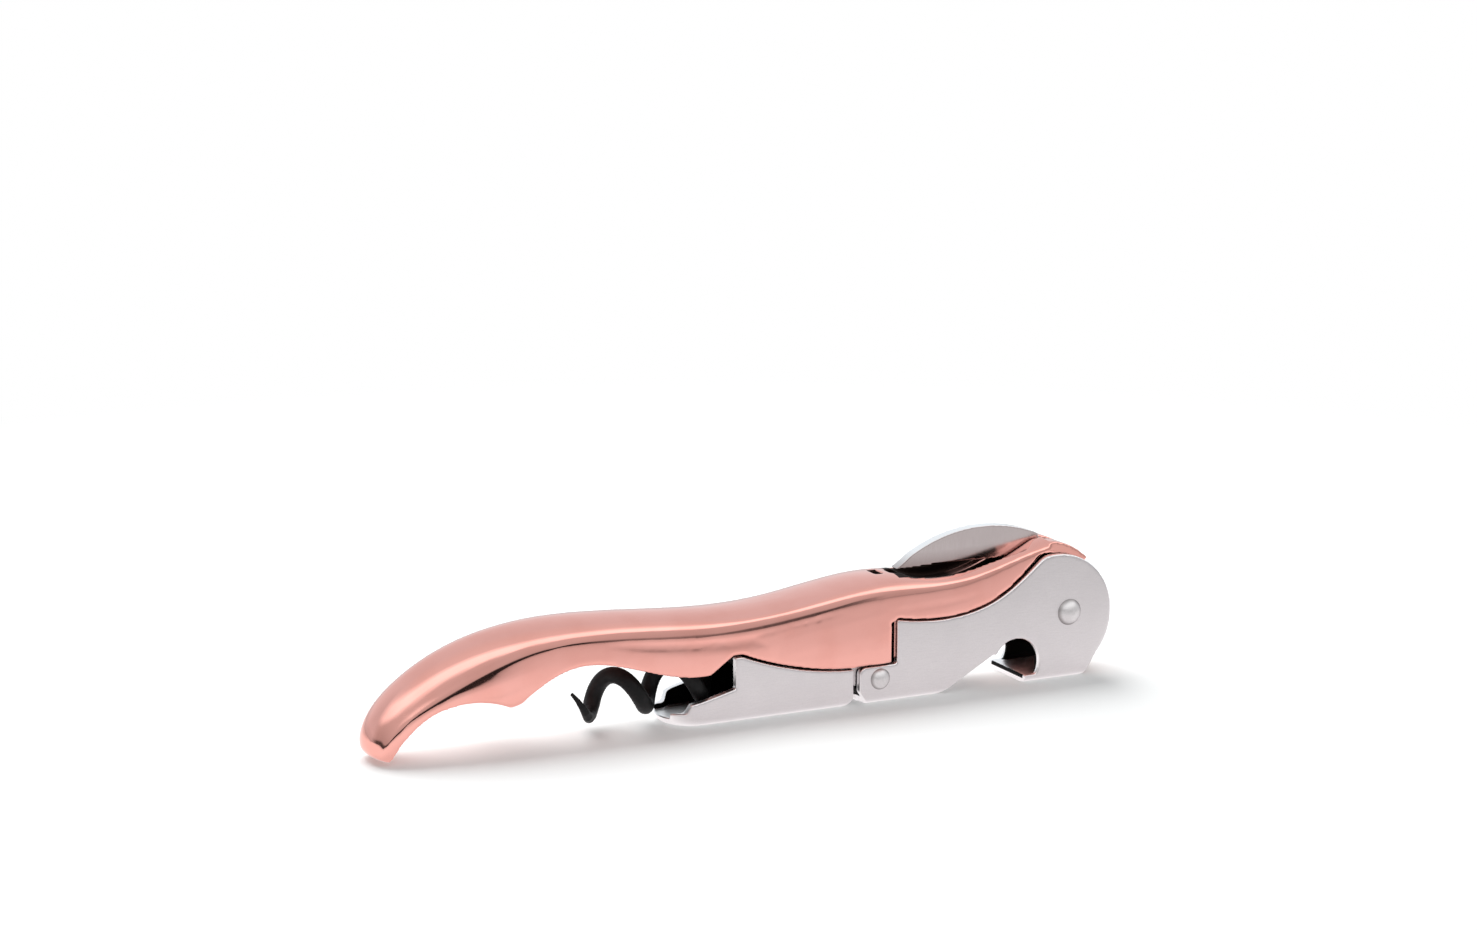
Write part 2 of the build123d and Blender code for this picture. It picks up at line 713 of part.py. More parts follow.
os.makedirs("parts", exist_ok=True)
lever_frame.part.label = "lever_frame"
export_step(lever_frame.part, "parts/lever_frame.step")
lever_foot.part.label = "lever_foot"
export_step(lever_foot.part, "parts/lever_foot.step")
lever_rivet.part.label = "lever_rivet"
export_step(lever_rivet.part, "parts/lever_rivet.step")
foot_rivet.part.label = "foot_rivet"
export_step(foot_rivet.part, "parts/foot_rivet.step")
worm_pin.part.label = "worm_pin"
export_step(worm_pin.part, "parts/worm_pin.step")
blade_pin.part.label = "blade_pin"
export_step(blade_pin.part, "parts/blade_pin.step")
worm.part.label = "worm"
export_step(worm.part, "parts/worm.step")
foil_blade.part.label = "foil_blade"
export_step(foil_blade.part, "parts/foil_blade.step")
handle.part.label = "handle"
export_step(handle.part, "parts/handle.step")
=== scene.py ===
# %% [markdown]
# A folding corkscrew, closed, lying on a white table.
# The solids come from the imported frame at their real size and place, in metres. They could be shown as they
# are, but polished metal needs softer forms than the flat facets of a solid's mesh give. So this lesson sets
# up the studio, models four of the nine pieces again, and makes the finishes of all of them.

# %% Load the frame
import bpy
from math import radians, tan, tau
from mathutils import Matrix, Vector


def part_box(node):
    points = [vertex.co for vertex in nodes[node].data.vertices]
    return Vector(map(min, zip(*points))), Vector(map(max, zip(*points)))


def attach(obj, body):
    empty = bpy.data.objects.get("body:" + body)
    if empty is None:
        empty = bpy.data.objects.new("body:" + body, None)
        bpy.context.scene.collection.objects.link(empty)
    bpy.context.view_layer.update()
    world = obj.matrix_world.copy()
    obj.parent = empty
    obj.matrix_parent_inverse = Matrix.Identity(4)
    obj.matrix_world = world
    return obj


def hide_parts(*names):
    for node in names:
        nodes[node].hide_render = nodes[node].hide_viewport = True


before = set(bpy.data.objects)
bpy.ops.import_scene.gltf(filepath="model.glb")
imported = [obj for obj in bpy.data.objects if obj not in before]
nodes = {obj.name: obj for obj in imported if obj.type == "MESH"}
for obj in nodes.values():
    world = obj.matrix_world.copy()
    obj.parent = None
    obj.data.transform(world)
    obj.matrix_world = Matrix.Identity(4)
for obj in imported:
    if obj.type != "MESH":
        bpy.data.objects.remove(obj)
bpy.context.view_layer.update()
print("nodes:", sorted(nodes))

# %% [markdown]
# The photograph looks at the tool from its tail side, a little from above, through a long lens.
# The camera could be placed by trial. Here its place was worked out, so that the rivets, the tail and the
# table line up with their pixels in a picture of 1477 by 930.

# %% Camera
PHOTO_WIDTH = 1477
FOCAL_PIXELS = 3100
SENSOR = 36.0
CAMERA_PLACE = (-0.20537, -0.41844, 0.13390)
CAMERA_AZIMUTH = radians(-26)
CAMERA_ELEVATION = radians(11.5)

camera_data = bpy.data.cameras.new("photo_camera")
camera_data.sensor_width = SENSOR
camera_data.lens = SENSOR * FOCAL_PIXELS / PHOTO_WIDTH
camera_data.clip_start = 0.01
camera = bpy.data.objects.new("photo_camera", camera_data)
camera.location = CAMERA_PLACE
camera.rotation_euler = (radians(90) - CAMERA_ELEVATION, 0, CAMERA_AZIMUTH)
bpy.context.scene.collection.objects.link(camera)
bpy.context.scene.camera = camera
bpy.context.scene.view_settings.view_transform = "Standard"
print("lens:", round(camera_data.lens, 2))

# %% [markdown]
# Every finish below is a small graph of shader nodes. The nodes could be added and linked one by one, but
# then the graphs would fill pages. These helpers keep them short: the first adds a node and fills its inputs
# with values or with other nodes' outputs, and the others mix colours, ramp, add up and mask.

# %% Node helpers
def add_node(tree, kind, inputs=None, **settings):
    """A new shader node, with its settings, and its inputs filled with values or linked to sockets."""
    made = tree.nodes.new("ShaderNode" + kind)
    for name, value in settings.items():
        setattr(made, name, value)
    for name, value in (inputs or {}).items():
        if isinstance(value, bpy.types.NodeSocket):
            tree.links.new(value, made.inputs[name])
        else:
            made.inputs[name].default_value = value
    return made


MIX_FACTOR, MIX_FIRST, MIX_SECOND, MIX_RESULT = 0, 6, 7, 2


def mix_colours(tree, factor, first, second, blend_type="MIX"):
    """The colour between two colours, by a factor."""
    inputs = {MIX_FACTOR: factor, MIX_FIRST: first, MIX_SECOND: second}
    return add_node(tree, "Mix", inputs, data_type="RGBA", blend_type=blend_type).outputs[MIX_RESULT]


def ramp(tree, value, stops):
    """A value turned into greys by a list of (place, grey) stops."""
    made = add_node(tree, "ValToRGB", {"Fac": value})
    elements = made.color_ramp.elements
    while len(elements) < len(stops):
        elements.new(1.0)
    for element, (place, grey) in zip(elements, stops):
        element.position = place
        element.color = (grey, grey, grey, 1)
    return made.outputs["Color"]


def span(tree, value, start, stop, low=0.0, high=1.0, interpolation="LINEAR"):
    """A value that runs from low to high while another goes from start to stop."""
    inputs = {"Value": value, "From Min": start, "From Max": stop, "To Min": low, "To Max": high}
    return add_node(tree, "MapRange", inputs, interpolation_type=interpolation).outputs[0]


def spread(tree, mask, low, high):
    """A mask from 0 to 1 turned into a value between two ends."""
    return span(tree, mask, 0.0, 1.0, low, high)


def work_out(tree, operation, first, second):
    """One sum on two values."""
    return add_node(tree, "Math", {0: first, 1: second}, operation=operation).outputs[0]


def both(tree, first, second):
    """The mask of what lies in two masks."""
    return work_out(tree, "MULTIPLY", first, second)


def either(tree, first, second):
    """The mask of what lies in one mask or the other."""
    return work_out(tree, "MAXIMUM", first, second)


def between(tree, value, low, high):
    """1 where a value lies between two ends, and 0 elsewhere."""
    above = work_out(tree, "GREATER_THAN", value, low)
    return both(tree, above, work_out(tree, "LESS_THAN", value, high))


def magnitude(tree, value):
    """A value without its sign."""
    return add_node(tree, "Math", {0: value}, operation="ABSOLUTE").outputs[0]


WHITE = (1, 1, 1, 1)
print("white:", WHITE)

# %% [markdown]
# Polished metal shows its surroundings, so the studio matters as much as the finish.
# The room could be built of boards around the tool. Greys painted by direction in the world's own nodes do
# the same with nothing to hide from the camera, which sees the world as plain white. In reflections it is a
# pale room. High on its front wall, behind the camera, a bright band draws the light line along the ridge of
# the handle, and low on the left of that wall a dark gap draws the dark streak of the tail.
# For soft light on matt surfaces the world is a dimmer plain white.

# %% World
# Greys of the walls by their height, which is the Z of the direction in which they are seen
BACK_WALL = [(0.0, 0.40), (0.08, 0.46), (0.20, 0.52), (0.65, 0.48), (1.0, 0.46)]
LEFT_WALL = [
    (0.0, 0.01),
    (0.09, 0.02),
    (0.15, 0.33),
    (0.42, 0.41),
    (0.55, 0.86),
    (0.73, 0.90),
    (0.86, 0.50),
    (1.0, 0.46),
]
RIGHT_WALL = [
    (0.0, 0.28),
    (0.06, 0.30),
    (0.15, 0.32),
    (0.42, 0.38),
    (0.54, 0.90),
    (0.74, 0.93),
    (0.88, 0.50),
    (1.0, 0.46),
]
# Where one wall fades into the next, by the Y or the X of the direction
BACK_TO_FRONT = (0.25, -0.25)
LEFT_TO_RIGHT = (0.36, 0.45)
LEFT_TO_FAR_LEFT = (-0.45, -0.75)
FAR_LEFT_GREY = (0.16, 0.16, 0.16, 1)
FAR_LEFT_SHARE = 0.2
COOL_WHITE = (0.95, 1.01, 1.05, 1)
ROOM_STRENGTH = 1.85
SOFT_STRENGTH = 0.24
world = bpy.data.worlds.new("white_studio")
bpy.context.scene.world = world
world.use_nodes = True
tree = world.node_tree
tree.nodes.clear()
path = add_node(tree, "LightPath").outputs
direction = add_node(tree, "TexCoord").outputs["Generated"]
x, y, z = add_node(tree, "SeparateXYZ", {0: direction}).outputs
to_right = span(tree, x, *LEFT_TO_RIGHT)
to_far_left = span(tree, x, *LEFT_TO_FAR_LEFT, 0.0, FAR_LEFT_SHARE)
front_wall = mix_colours(tree, to_right, ramp(tree, z, LEFT_WALL), ramp(tree, z, RIGHT_WALL))
back_wall = mix_colours(tree, 1.0, ramp(tree, z, BACK_WALL), COOL_WHITE, "MULTIPLY")
walls = mix_colours(tree, span(tree, y, *BACK_TO_FRONT), back_wall, front_wall)
walls = mix_colours(tree, to_far_left, walls, FAR_LEFT_GREY)
backdrop = add_node(tree, "Background", {"Color": WHITE, "Strength": 1.0})
room = add_node(tree, "Background", {"Color": walls, "Strength": ROOM_STRENGTH})
soft = add_node(tree, "Background", {"Color": WHITE, "Strength": SOFT_STRENGTH})
mirrored = either(tree, path["Is Glossy Ray"], path["Is Transmission Ray"])
unseen = add_node(tree, "MixShader", {0: mirrored, 1: soft.outputs[0], 2: room.outputs[0]})
seen = path["Is Camera Ray"]
any_ray = add_node(tree, "MixShader", {0: seen, 1: unseen.outputs[0], 2: backdrop.outputs[0]})
add_node(tree, "OutputWorld", {"Surface": any_ray.outputs[0]})
print("world:", world.name)

# %% [markdown]
# The tool's soft shadow falls on the table, to the front. One small lamp could throw it, but with a hard
# edge. A large soft box behind the tool gives a soft one, and a weak box high in front fills the shadow.
# Both are hidden from reflections, which show the room of the world instead.

# %% Lamps
def soft_box(name, place, aim, size, power):
    """A rectangular soft light at a place, facing an aim point, and not seen in reflections."""
    data = bpy.data.lights.new(name, "AREA")
    data.shape = "RECTANGLE"
    data.size = size[0]
    data.size_y = size[1]
    data.energy = power
    lamp = bpy.data.objects.new(name, data)
    bpy.context.scene.collection.objects.link(lamp)
    lamp.location = place
    lamp.rotation_euler = (Vector(aim) - Vector(place)).to_track_quat("-Z", "Y").to_euler()
    lamp.visible_glossy = False
    print("lamp:", name, power, "W")


soft_box("shadow_box", (-0.04, 0.42, 0.55), (0, 0, 0), (0.65, 0.65), 8.0)
soft_box("front_box", (0.10, -0.40, 0.62), (0, 0, 0.01), (0.6, 0.40), 0.8)

# %% [markdown]
# The table is white and melts into the background. A lit sheet alone would look grey under lamps at a plain
# level, and a glowing one would lose the shadow. So the sheet is both: close to the tool it is mostly lit and
# keeps the shadow, and further out what the camera sees of it is its own plain white. In the metal it shows
# as a white that fades away from the tool.

# %% Floor
FLOOR_SIZE = 6.0
FLOOR_COLOUR = (0.915, 0.935, 0.935, 1)
# The distances from the tool's middle, in metres, between which the table's own white grows to its full share
SHADOW_REACH = (0.08, 0.30)
NEAR_WHITE = 0.20
MIRRORED_SHARE = 0.7
MIRRORED_STRENGTH = 1.2
# How bright the table looks in the metal, by its distance from the tool's mid plane in metres
MIRRORED_FADE = [
    (0.0, 1.0),
    (0.015, 1.0),
    (0.04, 0.80),
    (0.06, 0.64),
    (0.10, 0.55),
    (0.3, 0.42),
    (1.0, 0.36),
]
WARM_WHITE = (1.0, 0.96, 0.965, 1)
bpy.ops.object.select_all(action="DESELECT")
bpy.ops.mesh.primitive_plane_add(size=FLOOR_SIZE, location=(0, 0, 0))
floor = bpy.context.active_object
floor.name = "floor"
floor_paint = bpy.data.materials.new("floor_white")
floor_paint.use_nodes = True
tree = floor_paint.node_tree
tree.nodes.clear()
path = add_node(tree, "LightPath").outputs
place = add_node(tree, "TexCoord").outputs["Object"]
distance = add_node(tree, "VectorMath", {0: place}, operation="LENGTH").outputs["Value"]
far = span(tree, distance, *SHADOW_REACH, NEAR_WHITE, 1.0, "SMOOTHSTEP")
mirrored = either(tree, path["Is Glossy Ray"], path["Is Transmission Ray"])
seen_white = both(tree, path["Is Camera Ray"], far)
own_white = either(tree, seen_white, work_out(tree, "MULTIPLY", mirrored, MIRRORED_SHARE))
aside = magnitude(tree, add_node(tree, "SeparateXYZ", {0: place}).outputs["Y"])
fading = work_out(tree, "MULTIPLY", ramp(tree, aside, MIRRORED_FADE), MIRRORED_STRENGTH)
own_strength = spread(tree, mirrored, 1.0, fading)
own_colour = mix_colours(tree, mirrored, WHITE, WARM_WHITE)
lit = add_node(tree, "BsdfDiffuse", {"Color": FLOOR_COLOUR})
glow = add_node(tree, "Emission", {"Color": own_colour, "Strength": own_strength})
blend = add_node(tree, "MixShader", {0: own_white, 1: lit.outputs[0], 2: glow.outputs[0]})
add_node(tree, "OutputMaterial", {"Surface": blend.outputs[0]})
floor.data.materials.append(floor_paint)
print("floor:", FLOOR_SIZE, "m")

# %% [markdown]
# The grip is one flowing casting: a rounded crown, a ridge on each side, and a shallow cove under the ridge.
# The frame's solid has nearly this form, but a mirror finish shows every facet of its mesh. So its skin is
# modelled afresh as a subdivision surface: sections along the grip, joined by extruding one into the next,
# and then smoothed. Each section is written in shares of the grip's length, height and width.

# %% Grip sections
MM = 0.001
rivet_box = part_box("lever_rivet")
PIVOT_X = (rivet_box[0][0] + rivet_box[1][0]) / 2
TAIL_REACH = PIVOT_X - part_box("handle")[0][0]
BACK_HEIGHT = 20.4 * MM
HALF_GRIP = 6.7 * MM
SKIN_INSET = 0.1 * MM
# Along the grip: the top's reach and height, the bottom's reach and height, the width at the ridge,
# the ridge's drop below the top, and the width of the cove under it
GRIP_STATIONS = [
    (-0.030, 1.170, -0.030, 0.92, 0.60, 0.22, 1.00),
    (0.025, 1.140, 0.025, 0.86, 0.66, 0.18, 1.00),
    (0.071, 1.090, 0.071, 0.70, 0.76, 0.12, 1.00),
    (0.114, 1.020, 0.114, 0.52, 0.83, 0.08, 1.00),
    (0.160, 0.963, 0.160, 0.42, 0.88, 0.08, 0.99),
    (0.215, 0.952, 0.215, 0.36, 0.93, 0.08, 0.97),
    (0.290, 1.004, 0.290, 0.24, 0.98, 0.10, 0.94),
    (0.365, 0.936, 0.365, 0.22, 0.98, 0.11, 0.91),
    (0.440, 0.868, 0.440, 0.20, 0.97, 0.12, 0.90),
    (0.510, 0.853, 0.510, 0.22, 0.95, 0.155, 0.90),
    (0.580, 0.876, 0.580, 0.27, 0.93, 0.185, 0.90),
    (0.655, 0.914, 0.655, 0.36, 0.92, 0.21, 0.90),
    (0.720, 0.933, 0.720, 0.44, 0.90, 0.245, 0.91),
    (0.770, 0.929, 0.765, 0.41, 0.88, 0.26, 0.91),
    (0.810, 0.904, 0.800, 0.34, 0.86, 0.29, 0.91),
    (0.848, 0.863, 0.832, 0.30, 0.84, 0.34, 0.91),
    (0.884, 0.797, 0.862, 0.315, 0.82, 0.41, 0.92),
    (0.920, 0.701, 0.890, 0.335, 0.80, 0.52, 0.93),
    (0.955, 0.565, 0.922, 0.28, 0.78, 0.54, 0.94),
    (0.981, 0.420, 0.948, 0.19, 0.75, 0.53, 0.95),
    (0.995, 0.275, 0.962, 0.095, 0.72, 0.48, 0.96),
    (1.000, 0.150, 0.970, 0.040, 0.67, 0.46, 0.96),
    (0.996, 0.050, 0.974, 0.010, 0.56, 0.46, 0.96),
]
# Down one side of a section: the width and depth of points on the crown, then on the ridge
CROWN = [(0.0, 0.0), (0.30, 0.07), (0.55, 0.25), (0.73, 0.52), (0.845, 0.84)]
RIDGE = [(0.966, 0.03), (1.000, 0.09)]
# Below the ridge: the depth of a point, and how many degrees the stretch above it leans outwards,
# on the body of the grip and at its tail, where a longer lean draws the dark streak of the cove
FLANK = [
    (0.16, 5.0, 10.5),
    (0.24, 3.5, 10.5),
    (0.32, 2.5, 10.0),
    (0.39, 2.0, 6.0),
    (0.47, 1.0, -2.0),
    (0.56, 0.5, -3.0),
    (0.64, -0.5, -3.0),
    (0.69, -1.0, 9.0),
    (0.75, -2.0, -4.0),
    (0.84, -3.0, -4.0),
    (0.93, -4.0, -4.0),
]
# The width of points across the sole, and where along the grip the tail's lean begins and is full
SOLE = [0.88, 0.44, 0.0]
TAIL_START = 0.79
TAIL_FULL = 0.86


def grip_section(station):
    """The ring of points around the grip at one station, starting at its top."""
    top_reach, top_height, low_reach, low_height, width, ridge_drop, cove = station
    top = Vector((PIVOT_X - top_reach * TAIL_REACH, 0, top_height * BACK_HEIGHT))
    low = Vector((PIVOT_X - low_reach * TAIL_REACH, 0, low_height * BACK_HEIGHT))
    down = (low - top).normalized()
    depth = (low - top).length
    half = width * HALF_GRIP - SKIN_INSET
    drop = ridge_drop * depth
    rest = depth - drop
    tail = min(max((top_reach - TAIL_START) / (TAIL_FULL - TAIL_START), 0.0), 1.0)
    side = [(half * across, drop * share) for across, share in CROWN]
    side += [(half * cove * across, drop + rest * share) for across, share in RIDGE]
    across, share_before = side[-1][0], RIDGE[-1][1]
    for share, body_lean, tail_lean in FLANK:
        lean = radians(body_lean + (tail_lean - body_lean) * tail)
        across += tan(lean) * (share - share_before) * rest
        side.append((across, drop + rest * share))
        share_before = share
    side += [(across * share, depth) for share in SOLE]
    outline = side + [(-across, below) for across, below in side[-2:0:-1]]
    return [top + down * (below + SKIN_INSET) + Vector((0, across, 0)) for across, below in outline]


grip_rings = [grip_section(station) for station in GRIP_STATIONS]
print("grip:", len(grip_rings), "sections of", len(grip_rings[0]), "points")

# %% [markdown]
# The handle is modelled as by hand, from skins and blocks that are joined, cut and smoothed by modifiers.
# The same steps come back for each form, so each step is a helper: a skin through rings of points, a modifier
# that is applied at once, a clean copy of a solid, a join or a cut, and a block to join or cut with.
# The skin of the grip is the first to be made with them.

# %% Skins, copies and cuts
MERGE_DISTANCE = 0.001 * MM
SKIN_LEVELS = 3


def loft(name, rings):
    """A closed skin through rings of points, extruded from each ring to the next."""
    bpy.ops.object.select_all(action="DESELECT")
    bpy.ops.mesh.primitive_circle_add(vertices=len(rings[0]), fill_type="NGON")
    skin = bpy.context.active_object
    skin.name = name
    for number, ring in enumerate(rings):
        if number > 0:
            bpy.ops.object.mode_set(mode="EDIT")
            bpy.ops.mesh.extrude_region()
            bpy.ops.object.mode_set(mode="OBJECT")
        moved = [vertex for vertex in skin.data.vertices if vertex.select]
        for vertex, place in zip(moved, ring):
            vertex.co = place
    bpy.ops.object.mode_set(mode="EDIT")
    bpy.ops.mesh.select_all(action="SELECT")
    bpy.ops.mesh.normals_make_consistent(inside=False)
    bpy.ops.object.mode_set(mode="OBJECT")
    return skin


def apply_modifier(piece, kind, **settings):
    """One modifier, set up and applied at once."""
    modifier = piece.modifiers.new(kind.lower(), kind)
    for name, value in settings.items():
        setattr(modifier, name, value)
    bpy.ops.object.select_all(action="DESELECT")
    piece.select_set(True)
    bpy.context.view_layer.objects.active = piece
    bpy.ops.object.modifier_apply(modifier=modifier.name)


def solid_copy(node, name):
    """A copy of a node's mesh as one closed skin, with its loose triangles merged."""
    piece = bpy.data.objects.new(name, nodes[node].data.copy())
    bpy.context.scene.collection.objects.link(piece)
    bpy.ops.object.select_all(action="DESELECT")
    piece.select_set(True)
    bpy.context.view_layer.objects.active = piece
    bpy.ops.mesh.customdata_custom_splitnormals_clear()
    bpy.ops.object.mode_set(mode="EDIT")
    bpy.ops.mesh.select_all(action="SELECT")
    bpy.ops.mesh.remove_doubles(threshold=MERGE_DISTANCE)
    bpy.ops.object.mode_set(mode="OBJECT")
    return piece


def combine(piece, other, operation):
    """Join, cut or intersect a piece with another, which is used up."""
    apply_modifier(piece, "BOOLEAN", operation=operation, object=other, solver="EXACT")
    bpy.data.objects.remove(other)


def block(name, low, high):
    """A plain block between two corners, for joining and cutting."""
    bpy.ops.object.select_all(action="DESELECT")
    middle = (Vector(low) + Vector(high)) / 2
    bpy.ops.mesh.primitive_cube_add(size=1.0, location=middle, scale=Vector(high) - Vector(low))
    bpy.ops.object.transform_apply(location=True, rotation=True, scale=True)
    bpy.context.active_object.name = name
    return bpy.context.active_object


handle_skin = loft("handle_skin", grip_rings)
apply_modifier(handle_skin, "SUBSURF", levels=SKIN_LEVELS, render_levels=SKIN_LEVELS)
print("skin of the grip:", len(handle_skin.data.polygons), "faces")

# %% [markdown]
# Towards the lever the sides of the grip swell into flares that end at a step, and between the lever's cheeks
# the casting goes on as a lug with a lip. They could be pulled out of the skin of the grip, but a subdivision
# surface would round the step away. So they are forms of their own, joined to the skin.

# %% Flares, lug and lip
# Along a flare: its reach, the height of its crease, and its widths at the crease and at its bottom
FLARE_STATIONS = [
    (0.520, 0.600, 0.800, 0.800),
    (0.440, 0.677, 0.885, 0.920),
    (0.365, 0.735, 0.910, 0.965),
    (0.292, 0.808, 0.925, 0.991),
    (0.281, 0.819, 0.920, 0.982),
    (0.2735, 0.826, 0.895, 0.950),
    (0.270, 0.830, 0.860, 0.900),
    (0.260, 0.840, 0.700, 0.700),
]
# Down a flare from its crease: how far, and how much the surface draws in there
FLARE_HOLLOW = [(0.0, 0.014), (0.15, 0.005), (0.4, 0.002), (0.6, 0.003), (0.8, 0.011), (1.0, 0.030)]
FLARE_INNER = 0.5
FLARE_LOW = 4.0 * MM
LUG_HALF = 4.3 * MM
LUG_TOP = 11.5 * MM
LUG_BACK = 36.0 * MM
LIP_BACK = 3.0 * MM
handle_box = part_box("handle")
for hand in (1, -1):
    rings = []
    for reach, crease, crease_width, low_width in FLARE_STATIONS:
        along = PIVOT_X - reach * TAIL_REACH
        top = crease * BACK_HEIGHT
        corners = [(FLARE_INNER, FLARE_LOW), (FLARE_INNER, top)]
        for fall, hollow in FLARE_HOLLOW:
            width = crease_width + (low_width - crease_width) * fall - hollow
            corners.append((width, top + (FLARE_LOW - top) * fall))
        rings.append([Vector((along, hand * HALF_GRIP * width, height)) for width, height in corners])
    combine(handle_skin, loft("flare", rings), "UNION")
head = handle_box[1][0] + MM
lug = block("lug", (PIVOT_X - LUG_BACK, -LUG_HALF, 0), (head, LUG_HALF, LUG_TOP))
combine(handle_skin, lug, "UNION")
lip = block("lip", (PIVOT_X - LIP_BACK, -LUG_HALF, LUG_TOP - MM), (head, LUG_HALF, handle_box[1][2] + MM))
combine(handle_skin, lip, "UNION")
print("skin with its flares, lug and lip:", len(handle_skin.data.polygons), "faces")

# %% [markdown]
# The casting has a slot, a trough and finger spurs, and the mechanism has to fit in it. These could be cut
# one by one, but the frame's solid has them all, so only what the skin and the solid share is kept.
# Two things are changed on the solid first, after the photograph: the blade's slot is closed ahead of the
# blade's tip, but for one small nick, and the gap at the step is widened. A fine remesh and some smoothing
# then melt the seams.

# %% Handle
SLOT_HALF = 1.6 * MM
SLOT_FLOOR = 17.5 * MM
SLOT_CLOSED = [(18.5 * MM, 22.0 * MM), (23.3 * MM, 24.9 * MM)]
STEP_GAP = (22.45 * MM, 23.3 * MM)
STEP_RISE = (5.5 * MM, 13.1 * MM)
STEP_INNER = 4.3 * MM
SKIN_VOXEL = 0.28 * MM
SKIN_PASSES = 3
SMOOTHING = 0.5
handle_solid = solid_copy("handle", "handle_solid")
for back, front in SLOT_CLOSED:
    plug = block("slot_plug", (back, -SLOT_HALF, SLOT_FLOOR), (front, SLOT_HALF, handle_box[1][2]))
    combine(handle_solid, plug, "UNION")
for inner, outer in ((STEP_INNER, 2 * HALF_GRIP), (-2 * HALF_GRIP, -STEP_INNER)):
    gap = block("step_gap", (STEP_GAP[0], inner, STEP_RISE[0]), (STEP_GAP[1], outer, STEP_RISE[1]))
    combine(handle_solid, gap, "DIFFERENCE")
combine(handle_skin, handle_solid, "INTERSECT")
apply_modifier(handle_skin, "REMESH", mode="VOXEL", voxel_size=SKIN_VOXEL)
apply_modifier(handle_skin, "SMOOTH", factor=SMOOTHING, iterations=SKIN_PASSES)
bpy.ops.object.shade_smooth()
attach(handle_skin, "handle")
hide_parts("handle")
print("handle:", len(handle_skin.data.polygons), "faces")

# %% [markdown]
# The frame, its foot and the blade are pressed sheet, tumbled until no edge is sharp.
# A bevel could round their edges, but it needs cleaner edges than the triangles of a solid's mesh give it.
# So tumbling itself is copied: a fine remesh turns the solid into even little faces, smoothing wears down
# its edges, and a last pass thins the faces out.

# %% Tumbled steel
# How a sheet is worn: the size of the remesh's faces, the passes of smoothing, and the share of faces kept
LEVER_WEAR = (0.2 * MM, 4, 0.35)
BLADE_WEAR = (0.15 * MM, 3, 0.5)


def tumbled(node, body, wear):
    """A copy of a sheet solid with its edges worn round, riding in place of the solid."""
    voxel, passes, keep = wear
    piece = solid_copy(node, node + "_tumbled")
    apply_modifier(piece, "REMESH", mode="VOXEL", voxel_size=voxel)
    apply_modifier(piece, "SMOOTH", factor=SMOOTHING, iterations=passes)
    apply_modifier(piece, "DECIMATE", ratio=keep)
    bpy.ops.object.shade_smooth()
    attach(piece, body)
    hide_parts(node)
    print(piece.name + ":", len(piece.data.polygons), "faces")
    return piece


frame_tumbled = tumbled("lever_frame", "lever", LEVER_WEAR)
foot_tumbled = tumbled("lever_foot", "foot", LEVER_WEAR)
blade_tumbled = tumbled("foil_blade", "blade", BLADE_WEAR)

# %% [markdown]
# The edge of the folded blade bellies down into its slot. It could be cut from a new outline, but letting
# down the points of its lowest band, most in the middle of its length, keeps the worn mesh whole.

# %% Blade edge
EDGE_LENGTH = 20.6 * MM
EDGE_HEIGHT = 21.9 * MM
EDGE_BAND = 1.6 * MM
EDGE_DROP = 1.3 * MM
blade_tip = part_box("foil_blade")[0][0]
for vertex in blade_tumbled.data.vertices:
    along = (vertex.co.x - blade_tip) / EDGE_LENGTH
    share = min(max((EDGE_HEIGHT - vertex.co.z) / EDGE_BAND, 0.0), 1.0)
    belly = 4 * along * (1 - along)
    if belly > 0.0:
        vertex.co.z -= EDGE_DROP * share * belly
print("blade edge let down by", round(EDGE_DROP / MM, 2), "mm in its middle")

# %% [markdown]
# Real metal is never one flat colour. Each finish could draw its own wear, but what they share is made once
# and changed in one place. So five effects are node groups with their own inputs: soft smudges left by
# handling, a fine grain that can be stretched into brushing, sparse hair scratches, a mask of the faces that
# look inwards, to the tool's mid plane, where shade is painted, and a mask of the edges of upright sheet,
# where a highlight is painted.

# %% Shared effects
SMUDGE_ENDS = [(0.42, 0.0), (0.66, 1.0)]
SCRATCH_ENDS = [(0.68, 0.0), (0.74, 1.0)]
INWARD_ENDS = [(0.25, 0.0), (0.45, 1.0)]
EDGE_HIGHLIGHT_ENDS = [(0.55, 1.0), (0.93, 0.0)]


def new_effect(name, inputs):
    """An empty node group with a Vector input, more inputs and a Mask output, and its two end nodes."""
    group = bpy.data.node_groups.new(name, "ShaderNodeTree")
    group.interface.new_socket("Vector", in_out="INPUT", socket_type="NodeSocketVector")
    for label, kind in inputs.items():
        group.interface.new_socket(label, in_out="INPUT", socket_type=kind)
    group.interface.new_socket("Mask", in_out="OUTPUT", socket_type="NodeSocketFloat")
    return group, group.nodes.new("NodeGroupInput").outputs, group.nodes.new("NodeGroupOutput").inputs[0]


smudges, start, mask = new_effect("smudges", {"Scale": "NodeSocketFloat"})
cloud = add_node(smudges, "TexNoise", {"Vector": start["Vector"], "Scale": start["Scale"], "Detail": 5.0})
smudges.links.new(ramp(smudges, cloud.outputs["Fac"], SMUDGE_ENDS), mask)

grain, start, mask = new_effect("grain", {"Stretch": "NodeSocketVector"})
drawn = add_node(grain, "Mapping", {"Vector": start["Vector"], "Scale": start["Stretch"]})
hair = add_node(grain, "TexNoise", {"Vector": drawn.outputs[0], "Scale": 1.0, "Detail": 3.0})
grain.links.new(hair.outputs["Fac"], mask)

